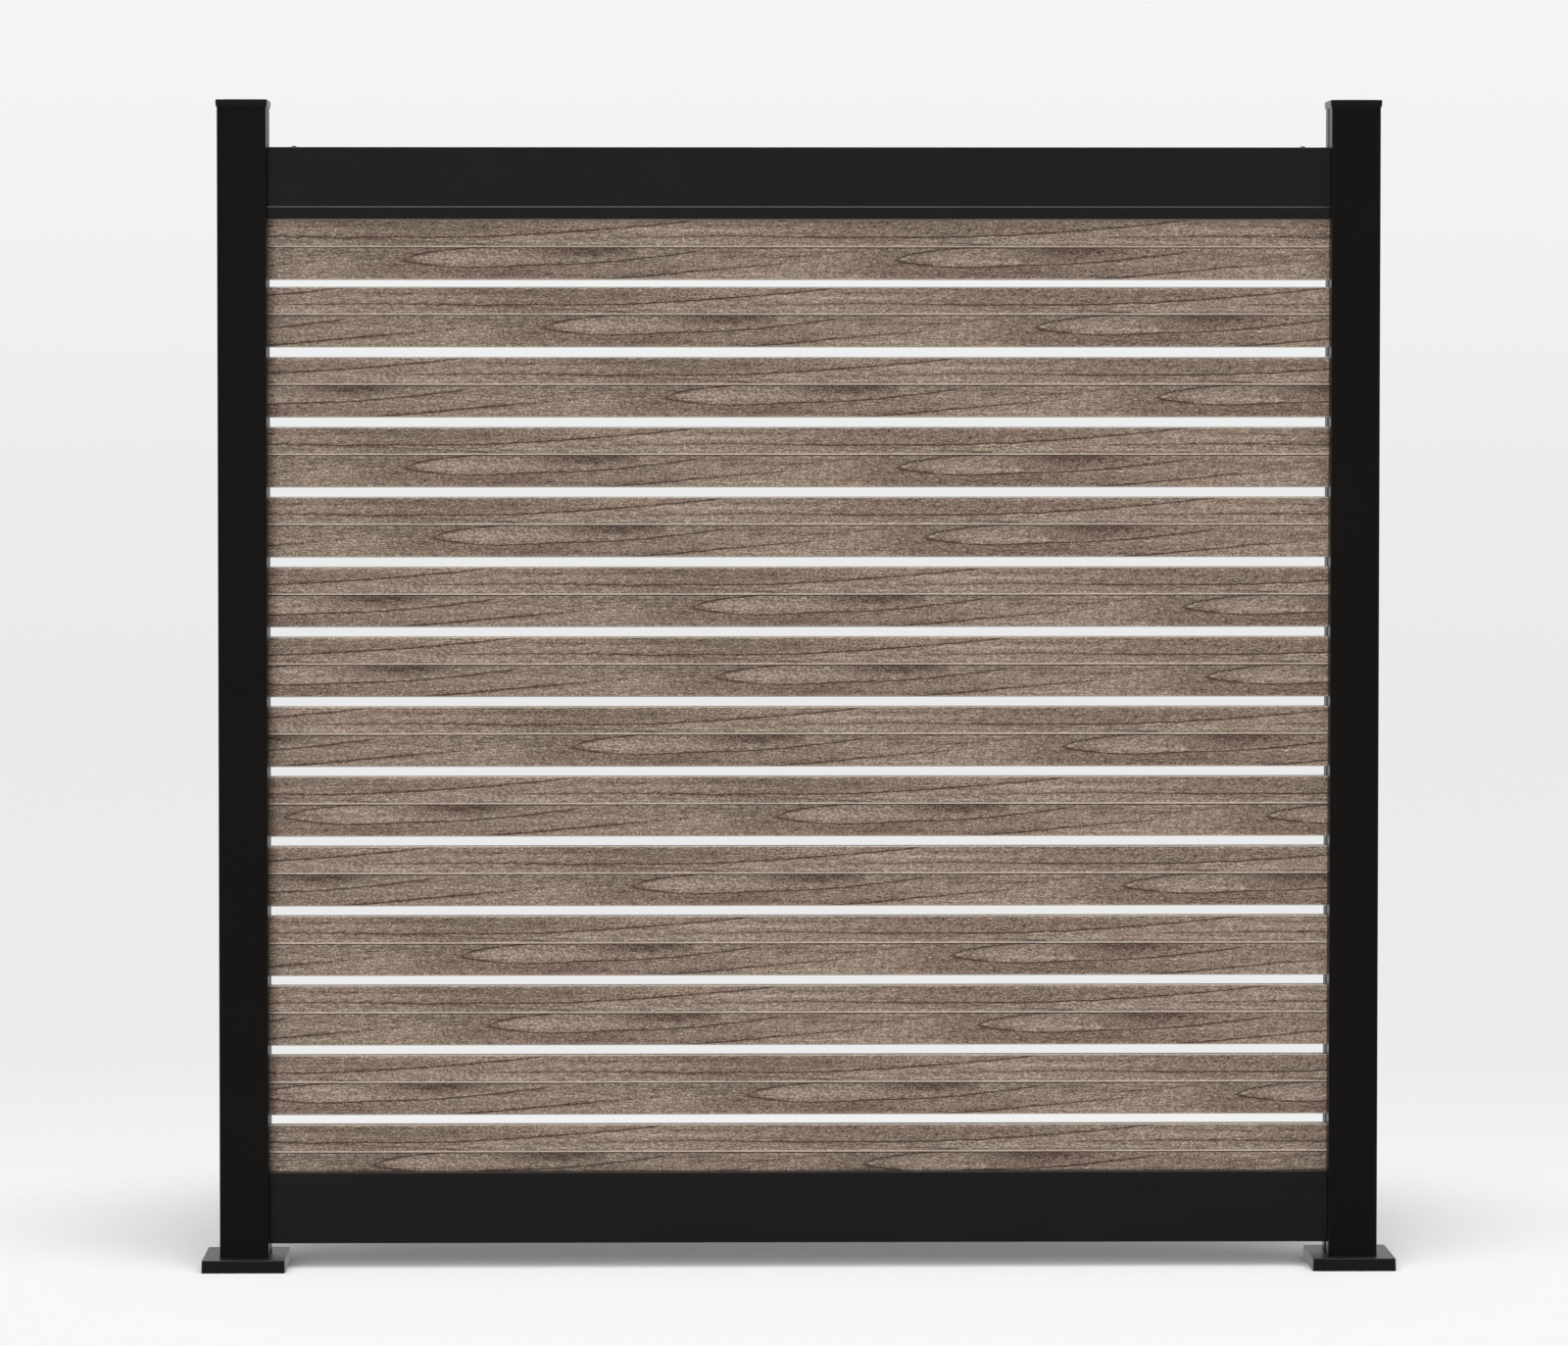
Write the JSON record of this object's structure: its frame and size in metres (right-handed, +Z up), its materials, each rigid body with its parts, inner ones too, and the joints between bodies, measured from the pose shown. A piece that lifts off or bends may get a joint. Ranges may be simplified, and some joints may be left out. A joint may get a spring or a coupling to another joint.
{
  "type": "garden privacy screen",
  "caption": "Free-standing garden privacy screen with slotted square posts on covered bolt-down feet, deep top and bottom rails and spaced horizontal wood-grain slats.",
  "frame": {"origin": "on the ground, in the middle of the screen between the two posts", "axes": "+X along the screen to the right as seen from the front, -Y to the front, +Z up"},
  "size_m": [1.8622, 0.13, 1.826],
  "materials": {
    "post_black": "satin",
    "rail_black": "satin",
    "wood_grain": "matte",
    "black_plastic": "satin",
    "cover_black": "satin",
    "zinc_steel": "satin",
    "black_steel": "satin"
  },
  "bodies": {
    "root": {"post_left": "post_black", "post_cap_left": "black_plastic", "base_plate_left": "zinc_steel", "base_cover_left": "cover_black", "slot_infill_left": "black_plastic", "spacer_left_01": "black_plastic", "spacer_left_02": "black_plastic", "spacer_left_03": "black_plastic", "spacer_left_04": "black_plastic", "spacer_left_05": "black_plastic", "spacer_left_06": "black_plastic", "spacer_left_07": "black_plastic", "spacer_left_08": "black_plastic", "spacer_left_09": "black_plastic", "spacer_left_10": "black_plastic", "spacer_left_11": "black_plastic", "spacer_left_12": "black_plastic", "spacer_left_13": "black_plastic", "rail_bracket_bottom_left": "zinc_steel", "rail_bracket_top_left": "zinc_steel", "rail_screw_top_left": "black_steel", "rail_screw_bottom_left": "black_steel", "post_right": "post_black", "post_cap_right": "black_plastic", "base_plate_right": "zinc_steel", "base_cover_right": "cover_black", "slot_infill_right": "black_plastic", "spacer_right_01": "black_plastic", "spacer_right_02": "black_plastic", "spacer_right_03": "black_plastic", "spacer_right_04": "black_plastic", "spacer_right_05": "black_plastic", "spacer_right_06": "black_plastic", "spacer_right_07": "black_plastic", "spacer_right_08": "black_plastic", "spacer_right_09": "black_plastic", "spacer_right_10": "black_plastic", "spacer_right_11": "black_plastic", "spacer_right_12": "black_plastic", "spacer_right_13": "black_plastic", "rail_bracket_bottom_right": "zinc_steel", "rail_bracket_top_right": "zinc_steel", "rail_screw_top_right": "black_steel", "rail_screw_bottom_right": "black_steel", "bottom_rail": "rail_black", "top_rail": "rail_black", "slat_01": "wood_grain", "slat_02": "wood_grain", "slat_03": "wood_grain", "slat_04": "wood_grain", "slat_05": "wood_grain", "slat_06": "wood_grain", "slat_07": "wood_grain", "slat_08": "wood_grain", "slat_09": "wood_grain", "slat_10": "wood_grain", "slat_11": "wood_grain", "slat_12": "wood_grain", "slat_13": "wood_grain", "slat_14": "wood_grain"}
  },
  "joints": []
}
